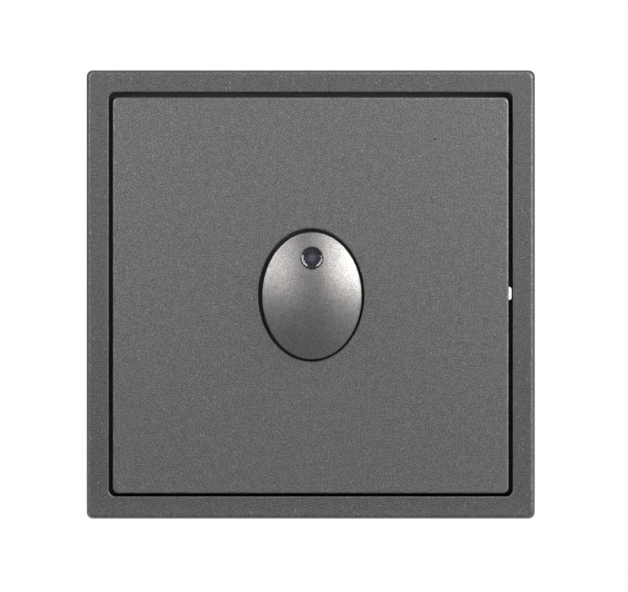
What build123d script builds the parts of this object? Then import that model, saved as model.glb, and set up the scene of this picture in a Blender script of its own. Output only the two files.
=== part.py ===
from build123d import *

import os

# A flush wall switch with a time delay: a square surround, a clipped front panel and a sprung oval
# push button with a clear indicator lens, on a pressed steel strap with a box of electronics behind.
# Lengths are millimetres. Each piece is drawn as seen from the front: x to the right, y up, and z out
# of the wall, with z = 0 on the wall. upright() then turns it to the part's own frame, in which +Z is
# up, the front faces -Y and the origin is midway between the two box screws, on the wall.

# Outer frame
PLATE = 86.0
FRAME_DEPTH = 8.8
PLATE_CORNER_R = 1.2
FRAME_DRAFT = 0.45
FRAME_EDGE_R = 0.5
FRAME_WALL = 1.6
FRAME_INSIDE_R = 0.6
WINDOW = 77.25
WINDOW_CORNER_R = 1.3
WINDOW_WALL = 1.2
LIP_R = 0.27
LEDGE_BACK = 1.2
LEDGE_FRONT = 2.6
LEDGE_WINDOW = 70.0
LEDGE_WINDOW_R = 2.0
FRAME_RIBS = (-30, -15, 15, 30)
FRAME_RIB = (3.0, 1.0)
PRY_SLOT_HEIGHT = 2.5
PRY_SLOT_INNER_X = 36.6
PRY_SLOT_OUTER_X = 38.5
PRY_SLOT_Y = 0.2
PRY_SLOT_R = 0.5

# Front panel, which hangs a little low in its window
PANEL = 75.7
PANEL_CORNER_R = 1.05
PANEL_EDGE_R = 0.4
PANEL_THICK = 1.8
PANEL_SKIRT = 1.5
PANEL_SKIRT_END = 2.9
PANEL_INSIDE_R = 0.5
PANEL_DROP = 0.18
HOLE_WIDTH = 20.16
HOLE_HEIGHT = 25.32
HOLE_X = 0.09
HOLE_Y = 0.08
HOLE_EDGE_R = 0.3
CLIP_SPACING = 32.0
CLIP_WIDTH = 6.0
CLIP_GAP = 0.25
CLIP_THICK = 1.1
CLIP_BARB = 0.8
CLIP_END = 3.3
CLIP_WINDOW_TOP = 5.2

# Button and what is under it
BUTTON_WIDTH = 19.05
BUTTON_HEIGHT = 24.3
BUTTON_X = 0.24
BUTTON_Y = -0.25
BUTTON_RIM = 9.6
BUTTON_RISE = 2.6
BUTTON_SKIN = 1.2
BUTTON_FLANGE = 1.2
BUTTON_FLANGE_THICK = 1.15
BUTTON_TRAVEL = 1.2
BUTTON_EDGE_R = 0.35
BUTTON_EDGE_DROP = 0.45
STEM_SPAN = 4.4
STEM_WEB = 1.2
SPRING_BOSS_R = 2.0
SPRING_PIN_R = 0.9
SPRING_PIN = 1.1
LENS_BOSS_WALL = 1.1
SWITCH_X = 0.0
SWITCH_Y = -1.0
SWITCH_SIDE = 8.4
SWITCH_TOP = 5.2
PLUNGER_TOP = 7.4
PLUNGER_SIDE = 3.2
PLUNGER_FOOT_TOP = 4.15
PLUNGER_FOOT = 0.9
WELL_FLOOR = 1.6
WELL_TOP = 4.2
SPRING_X = 6.2
SPRING_Y = -2.0
SPRING_TOP = 8.4
SPRING_COIL_R = 1.4
SPRING_WIRE_R = 0.2
SPRING_TURNS = 5

# Indicator
LENS_UP = 7.2
LENS_R = 2.2
LENS_BORE_R = 1.64
LENS_SEAT = 8.9
LENS_FLANGE_R = 2.7
LENS_FLANGE = 0.8
LENS_SINK = 0.12
LENS_SLOPE = 13.8
LENS_WINDOW = 0.65
LENS_DISH_R = 1.6
LENS_RING_R = 1.98
LENS_RING_RISE = 0.26
LENS_SLIT = (0.26, 0.8)
LENS_SLIT_TURN = 22
LED_R = 1.5
LED_FLANGE_R = 1.95
LED_BASE = 4.3
LED_TIP = 8.8
LED_LEG_PITCH = 2.54
LED_LEG = 0.5
LED_FLANGE = 0.9
LED_POST_X = 0.95
LED_CUP = [(0, -0.5), (0.46, 0.04), (0.4, 0.4), (0, 0.2), (-0.4, 0.4), (-0.46, 0.04)]
LED_CUP_BORE = 0.7
LED_CUP_DEPTH = 0.6

# Carrier
CARRIER = 69.2
CARRIER_CORNER_R = 3.0
CARRIER_BACK = 1.2
CARRIER_FRONT = 3.2
RIM = 68.0
RIM_WALL = 1.4
RIM_CORNER_R = 2.6
RIM_TOP = 6.6
RIB = 1.2
RIB_TOP = 5.8
SIDE_RIB = 19.0
BOSS_R = 2.9
LUG = (5.0, 2.6, 1.0)
LUG_AT = 25.0
GUIDE_WIDTH = 23.0
GUIDE_HEIGHT = 28.9
GUIDE_WALL = 1.2
BOX_SCREW_SPACING = 60.3
SLOT_LENGTH = 8.0
SLOT_WIDTH = 4.4
STAKE_AT = 30.0
STAKE_R = 1.45
STAKE_FIT = 0.05

# Steel strap
STRAP = 72.6
STRAP_THICK = 1.2
STRAP_WINDOW = 51.0
STRAP_CORNER_R = 4.0
STRAP_WINDOW_R = 3.0
EAR_WIDTH = 12.0
EAR_LENGTH = 3.0
BEND_R = 0.6

# Rear housing and its terminals
BOX = 50.0
BOX_BACK = -22.0
BOX_WALL = 1.8
BOX_CORNER_R = 2.5
BOX_DRAFT = 0.3
BOX_EDGE_R = 0.8
TOWER_AT = 20.5
TOWER_R = 4.2
TOWER_BORE_R = 3.0
SCREW_SEAT = -4.0
SCREW_HOLE_R = 1.6
SCREW_R = 1.45
SCREW_TIP = 5.4
SCREW_HEAD_R = 2.6
SCREW_HEAD = 1.7
TERMINAL_X = 11.0
TERMINAL_Y = -18.4
BAY_WIDTH = 10.0
BAY_TOP = -13.2
BAY_FLOOR = -12.0
BAY_WALL = 1.6
TERMINAL_SCREW_R = 2.0
TERMINAL_HEAD_R = 3.1
TERMINAL_HEAD = 2.4
TERMINAL_SHANK = 6.0
PAD = (8.4, 8.6)
WASHER = 7.6
WASHER_THICK = 1.0
FIT = 0.03

# Circuit board
BOARD = 46.0
BOARD_THICK = 1.6
BOARD_NOTCH_R = 4.6
LEAD_R = 0.35
LEAD_END = -3.0
SOLDER_TOP = 0.9
LEAD_HOLE_R = 0.5
TAB_WIDTH = 3.0
TAB_THICK = 1.0
TAB_Y = -9.5
BOARD_SUPPORTS = [
    (10.0, 22.6), (-10.0, 22.6), (22.6, 8.0), (22.6, -8.0), (-22.6, 8.0), (-22.6, -8.0), (0.0, -22.6),
]

# Parts on the back of the board: where they stand and how large they are
FILM_AT = (0.0, 15.0)
FILM_SIZE = (18.0, 8.0, 14.0)
FILM_PITCH = 15.0
CAN_AT = (-15.0, 8.0)
CAN_R = 4.0
CAN_LENGTH = 12.0
CAN_PITCH = 3.5
THYRISTOR_AT = (14.5, 8.0)
THYRISTOR_PITCH = 2.54
CHIP_AT = (0.0, -10.2)
CHIP_SIZE = (9.8, 6.4, 3.3)
CHIP_ROWS = 7.62
CHIP_PITCH = 2.54
DIODE_XS = (8.0, 11.7, 15.4, 19.1)
DIODE_Y = -2.0
DIODE_R = 1.35
DIODE_LENGTH = 5.2
RESISTOR_XS = (-8.0, -11.0, -14.0, -17.0, -20.0)
RESISTOR_Y = -3.0
RESISTOR_R = 1.15
RESISTOR_LENGTH = 6.3
AXIAL_PITCH = 10.0
AXIAL_HEIGHT = 3.4
VARISTOR_AT = (0.0, -17.0)
VARISTOR_R = 3.5
VARISTOR_THICK = 4.0
VARISTOR_PITCH = 5.0

PANEL_BACK = FRAME_DEPTH - PANEL_THICK
BUTTON_ASPECT = BUTTON_HEIGHT / BUTTON_WIDTH
FLANGE_TOP = PANEL_BACK - 0.05
LED_AT = (BUTTON_X, BUTTON_Y + LENS_UP)
SIDES = (-1, 1)
TURNS = (0, 90, 180, 270)


def upright(shape):
    """Turns a piece from the view it is drawn in to the part's own frame."""
    return Rot(90, 0, 0) * shape


def slab(sketch, low, high):
    """A flat sketch carried straight from one height to another."""
    return extrude(Pos(0, 0, low) * sketch, high - low)


def block(x, y, width, height, low, high):
    """A box centred on x, y."""
    return slab(Pos(x, y) * Rectangle(width, height), low, high)


def post(x, y, radius, low, high):
    """A round pin or hole centred on x, y."""
    return slab(Pos(x, y) * Circle(radius), low, high)


def square(side, corner_r):
    return RectangleRounded(side, side, corner_r)


def around(shape):
    """The same shape on all four sides."""
    return [Rot(0, 0, turn) * shape for turn in TURNS]


def edges_near(solid, height, reach):
    """The edges at one height that lie within reach of the middle, on x and on y."""
    found = solid.edges().filter_by_position(Axis.Z, height - 0.01, height + 0.01)
    found = found.filter_by_position(Axis.X, -reach, reach)
    return found.filter_by_position(Axis.Y, -reach, reach)


def outer_frame():
    """The surround: a drafted shell, open at the back, with a ledge round its window."""
    front = square(PLATE - 2 * FRAME_DRAFT, PLATE_CORNER_R)
    body = loft([square(PLATE, PLATE_CORNER_R), Pos(0, 0, FRAME_DEPTH) * front])
    body = fillet(body.faces().sort_by(Axis.Z)[-1].edges(), FRAME_EDGE_R)
    body -= slab(square(WINDOW, WINDOW_CORNER_R), LEDGE_FRONT, FRAME_DEPTH + 1)
    body -= slab(square(LEDGE_WINDOW, LEDGE_WINDOW_R), -1, LEDGE_FRONT + 1)
    inside = square(PLATE - 2 * FRAME_WALL - FRAME_DRAFT, FRAME_INSIDE_R)
    inner_wall = square(WINDOW + 2 * WINDOW_WALL, WINDOW_CORNER_R + WINDOW_WALL)
    body -= slab(inside, -1, LEDGE_BACK)
    channel = slab(inside - inner_wall, LEDGE_BACK, FRAME_DEPTH - FRAME_WALL)
    middle = (PLATE - 2 * FRAME_WALL + WINDOW + 2 * WINDOW_WALL) / 4
    for offset in FRAME_RIBS:
        for rib in around(block(middle, offset, *FRAME_RIB, LEDGE_BACK + 2, FRAME_DEPTH)):
            channel -= rib
    body -= channel
    body = fillet(edges_near(body, FRAME_DEPTH, WINDOW / 2 + 0.1), LIP_R)
    slot_width = PRY_SLOT_OUTER_X - PRY_SLOT_INNER_X
    slot = Pos((PRY_SLOT_OUTER_X + PRY_SLOT_INNER_X) / 2, PRY_SLOT_Y)
    body -= slab(slot * RectangleRounded(slot_width, PRY_SLOT_HEIGHT, PRY_SLOT_R), 0, LEDGE_FRONT + 1)
    return body


def panel_clip(offset):
    """A tongue with an inward barb, at the top edge of the panel."""
    inner = RIM / 2 + CLIP_GAP
    outer, barb = inner + CLIP_THICK, inner - CLIP_BARB
    profile = Polyline(
        (outer, PANEL_BACK), (outer, CLIP_END), (inner + 0.2, CLIP_END), (barb, CLIP_END + CLIP_BARB),
        (barb, CLIP_END + 1.2), (inner, CLIP_END + 1.5), (inner, PANEL_BACK), close=True,
    )
    return Pos(offset) * extrude(Plane.YZ * make_face(profile), CLIP_WIDTH / 2, both=True)


def front_panel():
    """The clipped cover with its oval hole, skirt and eight clips."""
    body = slab(square(PANEL, PANEL_CORNER_R), PANEL_SKIRT_END, FRAME_DEPTH)
    body = fillet(body.faces().sort_by(Axis.Z)[-1].edges(), PANEL_EDGE_R)
    body -= slab(square(PANEL - 2 * PANEL_SKIRT, PANEL_INSIDE_R), 0, PANEL_BACK)
    body -= slab(Pos(HOLE_X, HOLE_Y) * Ellipse(HOLE_WIDTH / 2, HOLE_HEIGHT / 2), 0, FRAME_DEPTH + 1)
    body = fillet(edges_near(body, FRAME_DEPTH, HOLE_HEIGHT / 2 + 0.5), HOLE_EDGE_R)
    for side in SIDES:
        for clip in around(panel_clip(side * CLIP_SPACING / 2)):
            body += clip
    return Pos(0, -PANEL_DROP) * body


def dome_height(x, y):
    """Height of the button's face over a point given from the button's middle."""
    half = BUTTON_WIDTH / 2
    sphere_r = (half**2 + BUTTON_RISE**2) / (2 * BUTTON_RISE)
    across = x**2 + (y / BUTTON_ASPECT) ** 2
    return BUTTON_RIM + BUTTON_RISE - sphere_r + (sphere_r**2 - across) ** 0.5


def button_shell():
    """A round domed cap with a catching flange, stretched to the oval."""
    half = BUTTON_WIDTH / 2
    edge = half - BUTTON_EDGE_R
    inner = half - BUTTON_SKIN
    inner_rim = BUTTON_RIM - 1.0
    crown = BUTTON_RIM + BUTTON_RISE
    start, middle = dome_height(edge, 0), dome_height(half / 2, 0)
    corner = half - 0.29 * BUTTON_EDGE_R
    flange_low = FLANGE_TOP - BUTTON_FLANGE_THICK
    inner_crown = crown - BUTTON_SKIN
    inner_middle = inner_crown - (inner_crown - inner_rim) * 0.26
    profile = ThreePointArc((0, crown), (half / 2, middle), (edge, start))
    rim = start - BUTTON_EDGE_DROP
    profile += ThreePointArc((edge, start), (corner, start - 0.38 * BUTTON_EDGE_DROP), (half, rim))
    profile += Polyline(
        (half, rim), (half, FLANGE_TOP), (half + BUTTON_FLANGE, FLANGE_TOP),
        (half + BUTTON_FLANGE, flange_low), (inner, flange_low), (inner, inner_rim),
    )
    profile += ThreePointArc((inner, inner_rim), (inner / 2, inner_middle), (0, inner_crown))
    profile += Line((0, inner_crown), (0, crown))
    cap = revolve(Plane.XZ * make_face(profile), Axis.Z)
    return scale(cap, (1, BUTTON_ASPECT, 1))


def button_core():
    """The space under the middle of the button's skin, which its stem and bosses fill in part."""
    half = (BUTTON_WIDTH - BUTTON_SKIN) / 2
    low = SPRING_TOP - SPRING_PIN
    heights = [dome_height(x, 0) - BUTTON_SKIN / 2 for x in (0, half / 2, half)]
    profile = ThreePointArc((0, heights[0]), (half / 2, heights[1]), (half, heights[2]))
    profile += Polyline((half, heights[2]), (half, low), (0, low), (0, heights[0]))
    return scale(revolve(Plane.XZ * make_face(profile), Axis.Z), (1, BUTTON_ASPECT, 1))


def oval_button():
    """The push button: the domed cap, its cross stem, two spring bosses and the lens boss."""
    crown = BUTTON_RIM + BUTTON_RISE
    stem_x, stem_y = SWITCH_X - BUTTON_X, SWITCH_Y - BUTTON_Y
    inner = block(stem_x, stem_y, STEM_SPAN, STEM_WEB, PLUNGER_TOP, crown)
    inner += block(stem_x, stem_y, STEM_WEB, STEM_SPAN, PLUNGER_TOP, crown)
    for side in SIDES:
        x, y = side * SPRING_X - BUTTON_X, SPRING_Y - BUTTON_Y
        inner += post(x, y, SPRING_BOSS_R, SPRING_TOP, crown)
        inner += post(x, y, SPRING_PIN_R, SPRING_TOP - SPRING_PIN, SPRING_TOP)
    inner += post(0, LENS_UP, LENS_R + LENS_BOSS_WALL, LENS_SEAT, crown)
    body = button_shell() + (inner & button_core())
    body -= post(0, LENS_UP, LENS_R + FIT, 0, crown + 1)
    return Pos(BUTTON_X, BUTTON_Y) * body


def lens_end():
    """What is cut off the lens's end: all above a flat floor, a ring that slopes up from it, and a rim."""
    slope = [(LENS_DISH_R, 0), (LENS_RING_R, LENS_RING_RISE)]
    profile = Polyline((0, 0), *slope, (4, LENS_RING_RISE), (4, 4), (0, 4), close=True)
    return revolve(Plane.XZ * make_face(profile), Axis.Z)


def indicator_lens():
    """A clear thimble, pushed into the button up to its flange, with a window that slopes as the face does."""
    top = dome_height(0, LENS_UP) - LENS_SINK - LENS_RING_RISE
    low = LENS_SEAT - LENS_FLANGE
    slope = Rot(-LENS_SLOPE, 0, 0)
    lens = post(0, 0, LENS_FLANGE_R, low, LENS_SEAT) + post(0, 0, LENS_R, LENS_SEAT, top + 2)
    reach = 4 * LENS_R
    under_window = Pos(0, 0, top - LENS_WINDOW) * slope * block(0, 0, reach, reach, -reach, 0)
    lens -= post(0, 0, LENS_BORE_R, low, top) & under_window
    lens -= Pos(0, 0, top) * slope * lens_end()
    for side in SIDES:
        slit = block(0, -(LENS_DISH_R + LENS_R) / 2, *LENS_SLIT, top + 0.2, top + 2)
        lens -= Rot(0, 0, side * LENS_SLIT_TURN) * slit
    return Pos(*LED_AT) * lens


def led_leg(side, reach, high):
    """A leg that steps inward inside the lamp's flange and rises to a height."""
    half = LED_LEG_PITCH / 2
    bend_low, bend_high = LED_BASE + 0.3, LED_BASE + 0.7
    leg = block(side * half, 0, LED_LEG, LED_LEG, LEAD_END, bend_high)
    leg += block(side * (half + reach) / 2, 0, half - reach, LED_LEG, bend_low, bend_high)
    return leg + block(side * reach, 0, LED_LEG, LED_LEG, bend_low, high)


def led_leadframe():
    """The two legs inside the lamp: one ends in a notched, hollow cup, the other in a small post."""
    cup_low, cup_high = LED_BASE + 1.8, LED_BASE + 2.8
    outline = make_face(Polyline(*LED_CUP, close=True))
    bore = slab(scale(outline, LED_CUP_BORE), cup_high - LED_CUP_DEPTH, cup_high + 1)
    cup = slab(outline, cup_low, cup_high) - bore
    cathode = led_leg(-1, LED_LEG / 2, cup_low + 0.2) + cup
    return Pos(*LED_AT) * Compound([cathode, led_leg(1, LED_POST_X, cup_high - 0.1)])


def indicator_led():
    """A 3 mm lamp with its flange and flat, cast round the leadframe."""
    flange_top = LED_BASE + LED_FLANGE
    lamp = post(0, 0, LED_FLANGE_R, LED_BASE, flange_top) + post(0, 0, LED_R, flange_top, LED_TIP - LED_R)
    lamp += Pos(0, 0, LED_TIP - LED_R) * Sphere(LED_R)
    lamp -= block(-LED_R - 1.15, 0, 2, 5, LED_BASE - 1, flange_top)
    lamp = Pos(*LED_AT) * lamp
    for metal in led_leadframe().solids():
        lamp -= metal
    return lamp


def led_spacer():
    """The tube that carries the lamp at its height over the board."""
    tube = post(0, 0, LED_R + 0.7, 0, LED_BASE)
    for side in SIDES:
        tube -= post(side * LED_LEG_PITCH / 2, 0, 0.45, -1, LED_BASE + 1)
    return Pos(*LED_AT) * tube


def push_switch_body():
    """The momentary switch under the button, with its plunger well and six pins."""
    body = block(SWITCH_X, SWITCH_Y, SWITCH_SIDE, SWITCH_SIDE, 0, SWITCH_TOP)
    body = chamfer(body.faces().sort_by(Axis.Z)[-1].edges(), 0.3)
    body -= block(SWITCH_X, SWITCH_Y, PLUNGER_SIDE + 1.2, PLUNGER_SIDE + 1.2, WELL_FLOOR, WELL_TOP)
    body -= block(SWITCH_X, SWITCH_Y, PLUNGER_SIDE + 0.2, PLUNGER_SIDE + 0.2, WELL_TOP, SWITCH_TOP + 1)
    for x, y in switch_pins():
        body += post(x, y, LEAD_R, LEAD_END, 0)
    return body


def switch_pins():
    return [(SWITCH_X + side * 2.25, SWITCH_Y + row * 2.0) for side in SIDES for row in (-1, 0, 1)]


def push_switch_plunger():
    """The plunger, with the foot that keeps it in the switch."""
    low, foot = PLUNGER_FOOT_TOP - PLUNGER_FOOT, PLUNGER_SIDE + 0.9
    shaft = block(SWITCH_X, SWITCH_Y, PLUNGER_SIDE, PLUNGER_SIDE, low, PLUNGER_TOP)
    shaft = chamfer(shaft.faces().sort_by(Axis.Z)[-1].edges(), 0.3)
    return shaft + block(SWITCH_X, SWITCH_Y, foot, foot, low, PLUNGER_FOOT_TOP)


def button_spring(side):
    """One return spring, between the carrier's floor and the button's boss."""
    low = CARRIER_FRONT + SPRING_WIRE_R + 0.02
    high = SPRING_TOP - SPRING_WIRE_R - 0.02
    path = Pos(0, 0, low) * Helix((high - low) / SPRING_TURNS, high - low, SPRING_COIL_R)
    section = Plane(path @ 0, z_dir=path % 0) * Circle(SPRING_WIRE_R)
    return Pos(side * SPRING_X, SPRING_Y) * sweep(section, path, is_frenet=True)


def carrier():
    """The moulding that everything is built on: floor, clip rim, button guide, ribs and screw bosses."""
    body = slab(square(CARRIER, CARRIER_CORNER_R), CARRIER_BACK, CARRIER_FRONT)
    rim = square(RIM, RIM_CORNER_R) - square(RIM - 2 * RIM_WALL, RIM_CORNER_R - RIM_WALL)
    body += slab(rim, CARRIER_FRONT, RIM_TOP)
    guide = Ellipse(GUIDE_WIDTH / 2 + GUIDE_WALL, GUIDE_HEIGHT / 2 + GUIDE_WALL)
    rib_reach = RIM / 2 - RIM_WALL / 2
    lug_low = LEDGE_FRONT + 0.15
    for side in SIDES:
        body += block(0, side * rib_reach / 2, RIB, rib_reach, CARRIER_FRONT, RIB_TOP)
        body += block(side * SIDE_RIB / 2, 0, SIDE_RIB, RIB, CARRIER_FRONT, RIB_TOP)
        for turn in (45, 135):
            reach = TOWER_AT * 2**0.5
            body += Rot(0, 0, turn) * block(side * reach / 2, 0, reach, RIB, CARRIER_FRONT, RIB_TOP)
    body += slab(guide, CARRIER_FRONT, PANEL_BACK - 0.2)
    body -= slab(Ellipse(GUIDE_WIDTH / 2, GUIDE_HEIGHT / 2), CARRIER_FRONT, PANEL_BACK)
    for side in SIDES:
        width = CLIP_WIDTH + 0.8
        opening = block(side * CLIP_SPACING / 2, RIM / 2, width, 4, CARRIER_FRONT, CLIP_WINDOW_TOP)
        for clip_window in around(opening):
            body -= clip_window
        lug_out = CARRIER / 2 + 0.3
        for lug in around(block(side * LUG_AT, lug_out, LUG[0], LUG[1], lug_low, lug_low + LUG[2])):
            body += lug
        for other in SIDES:
            x, y = side * TOWER_AT, other * TOWER_AT
            body += post(x, y, BOSS_R, CARRIER_FRONT, RIM_TOP)
            body -= post(x, y, SCREW_R + 0.02, 0, SCREW_TIP + 0.4)
            body += post(side * STAKE_AT, other * STAKE_AT, STAKE_R, 0, CARRIER_BACK)
        body += post(side * SPRING_X, SPRING_Y, SPRING_PIN_R, CARRIER_FRONT, CARRIER_FRONT + 1.3)
        slot = Pos(side * BOX_SCREW_SPACING / 2) * SlotOverall(SLOT_LENGTH + 1, SLOT_WIDTH + 1)
        body -= slab(slot, 0, RIM_TOP + 1)
    for x, y in BOARD_SUPPORTS:
        body += block(x * 0.97, y * 0.97, 2.2, 2.2, 0, CARRIER_BACK)
    body -= block(SWITCH_X, SWITCH_Y, SWITCH_SIDE + 0.6, SWITCH_SIDE + 0.6, 0, CARRIER_FRONT + 1)
    body -= post(*LED_AT, LED_R + 1.1, 0, CARRIER_FRONT + 1)
    return body


def steel_strap():
    """The pressed strap: slots for the box screws, and two ears bent back beside the housing."""
    body = slab(square(STRAP, STRAP_CORNER_R) - square(STRAP_WINDOW, STRAP_WINDOW_R), 0, STRAP_THICK)
    inner = STRAP_WINDOW / 2
    bend = inner + BEND_R + STRAP_THICK
    for side in SIDES:
        body -= slab(Pos(side * BOX_SCREW_SPACING / 2) * SlotOverall(SLOT_LENGTH, SLOT_WIDTH), -1, 2)
        for other in SIDES:
            body -= post(side * STAKE_AT, other * STAKE_AT, STAKE_R + STAKE_FIT, -1, 2)
            body -= block(side * (EAR_WIDTH / 2 + 0.5), other * inner, 1, 2 * (bend - inner), -1, 2)
    profile = Line((bend, 0), (bend, STRAP_THICK))
    profile += RadiusArc((bend, STRAP_THICK), (inner, -BEND_R), -(BEND_R + STRAP_THICK))
    outer = inner + STRAP_THICK
    profile += Polyline((inner, -BEND_R), (inner, -EAR_LENGTH), (outer, -EAR_LENGTH), (outer, -BEND_R))
    profile += RadiusArc((outer, -BEND_R), (bend, 0), BEND_R)
    ear = extrude(Plane.YZ * make_face(profile), EAR_WIDTH / 2, both=True)
    for turn in (0, 180):
        body -= Rot(0, 0, turn) * block(0, inner, EAR_WIDTH, 2 * (bend - inner), -1, 2)
        body += Rot(0, 0, turn) * ear
    return body


def bay(side, grow):
    """The space of one terminal bay, open to the back and the bottom, grown by a wall thickness."""
    left, right = side * TERMINAL_X - BAY_WIDTH / 2 - grow, side * TERMINAL_X + BAY_WIDTH / 2 + grow
    bottom, top = -BOX / 2 - 1, BAY_TOP + grow
    middle_x, middle_y = (left + right) / 2, (bottom + top) / 2
    return block(middle_x, middle_y, right - left, top - bottom, BOX_BACK - 1, BAY_FLOOR + grow)


def rear_housing():
    """The box behind the wall: drafted walls, two terminal bays, four screw towers and board ribs."""
    back = Pos(0, 0, BOX_BACK) * square(BOX - 2 * BOX_DRAFT, BOX_CORNER_R)
    body = loft([back, Pos(0, 0, CARRIER_BACK) * square(BOX, BOX_CORNER_R)])
    body = fillet(body.faces().sort_by(Axis.Z)[0].edges(), BOX_EDGE_R)
    cavity = slab(square(BOX - 2 * BOX_WALL, 1), BOX_BACK + BOX_WALL, CARRIER_BACK + 1)
    for side in SIDES:
        cavity -= bay(side, BAY_WALL)
        for other in SIDES:
            cavity -= post(side * TOWER_AT, other * TOWER_AT, TOWER_R, BOX_BACK, CARRIER_BACK + 1)
    for x, y in BOARD_SUPPORTS:
        cavity -= block(x, y, 1.2, 1.2, BOX_BACK, -BOARD_THICK)
    body -= cavity
    for side in SIDES:
        body -= bay(side, 0)
        body -= post(side * TERMINAL_X, TERMINAL_Y, TERMINAL_SCREW_R + 0.3, BAY_FLOOR - 1, 0)
        slit_low, slit_high = BAY_FLOOR - TAB_THICK - FIT, BAY_FLOOR + FIT
        body -= block(side * TERMINAL_X, BAY_TOP, TAB_WIDTH + 2 * FIT, 5, slit_low, slit_high)
        for other in SIDES:
            x, y = side * TOWER_AT, other * TOWER_AT
            body -= post(x, y, TOWER_BORE_R, BOX_BACK - 1, SCREW_SEAT)
            body -= post(x, y, SCREW_HOLE_R, SCREW_SEAT - 1, CARRIER_BACK + 1)
    return body


def cross_recess(x, y, width, low, high):
    """The driver recess in a screw head."""
    return block(x, y, width, 0.7, low, high) + block(x, y, 0.7, width, low, high)


def housing_screws():
    """Four self-tapping screws that hold the housing to the carrier."""
    screws = []
    for side in SIDES:
        for other in SIDES:
            x, y = side * TOWER_AT, other * TOWER_AT
            head = post(x, y, SCREW_HEAD_R, SCREW_SEAT - SCREW_HEAD, SCREW_SEAT)
            head = fillet(head.faces().sort_by(Axis.Z)[0].edges(), 0.7)
            head -= cross_recess(x, y, 2.6, SCREW_SEAT - 2, SCREW_SEAT - 0.9)
            shank = post(x, y, SCREW_R, SCREW_SEAT, SCREW_TIP)
            screws.append(head + chamfer(shank.faces().sort_by(Axis.Z)[-1].edges(), 0.8))
    return Compound(screws)


def terminal_plate(side):
    """A brass strip: the clamping pad in the bay, and a tab that turns up into the board."""
    x = side * TERMINAL_X
    low, high = BAY_FLOOR - TAB_THICK, BAY_FLOOR
    pad = block(x, TERMINAL_Y, *PAD, low, high)
    pad -= post(x, TERMINAL_Y, TERMINAL_SCREW_R + FIT, low - 1, high + 1)
    start, end = TERMINAL_Y + 4, TAB_Y + TAB_THICK / 2
    tab = block(x, (start + end) / 2, TAB_WIDTH, end - start, low, high)
    tab += block(x, TAB_Y, TAB_WIDTH, TAB_THICK, low, LEAD_R + 0.4)
    outside = tab.edges().filter_by(Axis.X).filter_by_position(Axis.Z, low - 0.01, low + 0.01)
    tab = fillet(outside.sort_by(Axis.Y)[-1], TAB_THICK * 0.9)
    return pad + tab


def clamp_washer(side):
    """The captive square washer that presses the wire, with two edges turned in."""
    x, high = side * TERMINAL_X, BAY_FLOOR - TAB_THICK
    low = high - WASHER_THICK
    washer = block(x, TERMINAL_Y, WASHER, WASHER, low, high)
    washer = chamfer(washer.edges().filter_by(Axis.Z), 0.8)
    for edge in SIDES:
        washer += block(x + edge * (WASHER / 2 - 0.3), TERMINAL_Y, 0.6, 4.8, low - 0.8, low)
    return washer - post(x, TERMINAL_Y, TERMINAL_SCREW_R + FIT, high - 3, high + 1)


def terminal_screw(side):
    """An M4 clamping screw with a slotted cross head."""
    x, seat = side * TERMINAL_X, BAY_FLOOR - TAB_THICK - WASHER_THICK
    head = post(x, TERMINAL_Y, TERMINAL_HEAD_R, seat - TERMINAL_HEAD, seat)
    head = fillet(head.faces().sort_by(Axis.Z)[0].edges(), 0.6)
    head -= cross_recess(x, TERMINAL_Y, 3.4, seat - 3, seat - 1.1)
    head -= block(x, TERMINAL_Y, 7, 0.8, seat - 3, seat - 1.5)
    shank = post(x, TERMINAL_Y, TERMINAL_SCREW_R, seat, seat + TERMINAL_SHANK)
    return head + chamfer(shank.faces().sort_by(Axis.Z)[-1].edges(), 0.5)


def pair(at, pitch):
    """Two leads side by side."""
    return [(at[0] - pitch / 2, at[1]), (at[0] + pitch / 2, at[1])]


def thyristor_leads():
    x, y = THYRISTOR_AT
    return [(x + step * THYRISTOR_PITCH, y) for step in (-1, 0, 1)]


def chip_leads():
    x, y = CHIP_AT
    places = []
    for side in SIDES:
        for step in (-1.5, -0.5, 0.5, 1.5):
            places.append((x + step * CHIP_PITCH, y + side * CHIP_ROWS / 2))
    return places


def axial_leads(xs, y):
    return [(x, y + side * AXIAL_PITCH / 2) for x in xs for side in SIDES]


def all_leads():
    """Where every lead goes through the board."""
    leads = pair(FILM_AT, FILM_PITCH) + pair(CAN_AT, CAN_PITCH) + pair(VARISTOR_AT, VARISTOR_PITCH)
    leads += thyristor_leads() + chip_leads() + axial_leads(DIODE_XS, DIODE_Y)
    leads += axial_leads(RESISTOR_XS, RESISTOR_Y) + pair(LED_AT, LED_LEG_PITCH) + switch_pins()
    return leads


def circuit_board():
    """The board, notched round the screw towers and drilled for every lead."""
    outline = Rectangle(BOARD, BOARD)
    for side in SIDES:
        outline -= Pos(side * TERMINAL_X, TAB_Y) * Rectangle(TAB_WIDTH + 0.3, TAB_THICK + 0.3)
        for other in SIDES:
            outline -= Pos(side * TOWER_AT, other * TOWER_AT) * Circle(BOARD_NOTCH_R)
    for lead in all_leads():
        outline -= Pos(*lead) * Circle(LEAD_HOLE_R)
    return slab(outline.face(), -BOARD_THICK, 0)


def lead_pins(places, low):
    """Straight leads, from just past the front of the board down to a part's body."""
    return [post(x, y, LEAD_R, low, SOLDER_TOP) for x, y in places]


def film_capacitor():
    """The boxed capacitor that drops the mains voltage."""
    x, y = FILM_AT
    width, height, depth = FILM_SIZE
    top = -BOARD_THICK
    body = fillet(block(x, y, width, height, top - depth, top).edges().filter_by(Axis.Z), 0.6)
    body = fillet(body.faces().sort_by(Axis.Z)[0].edges(), 0.5)
    return body + lead_pins(pair(FILM_AT, FILM_PITCH), top - 1)


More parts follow.
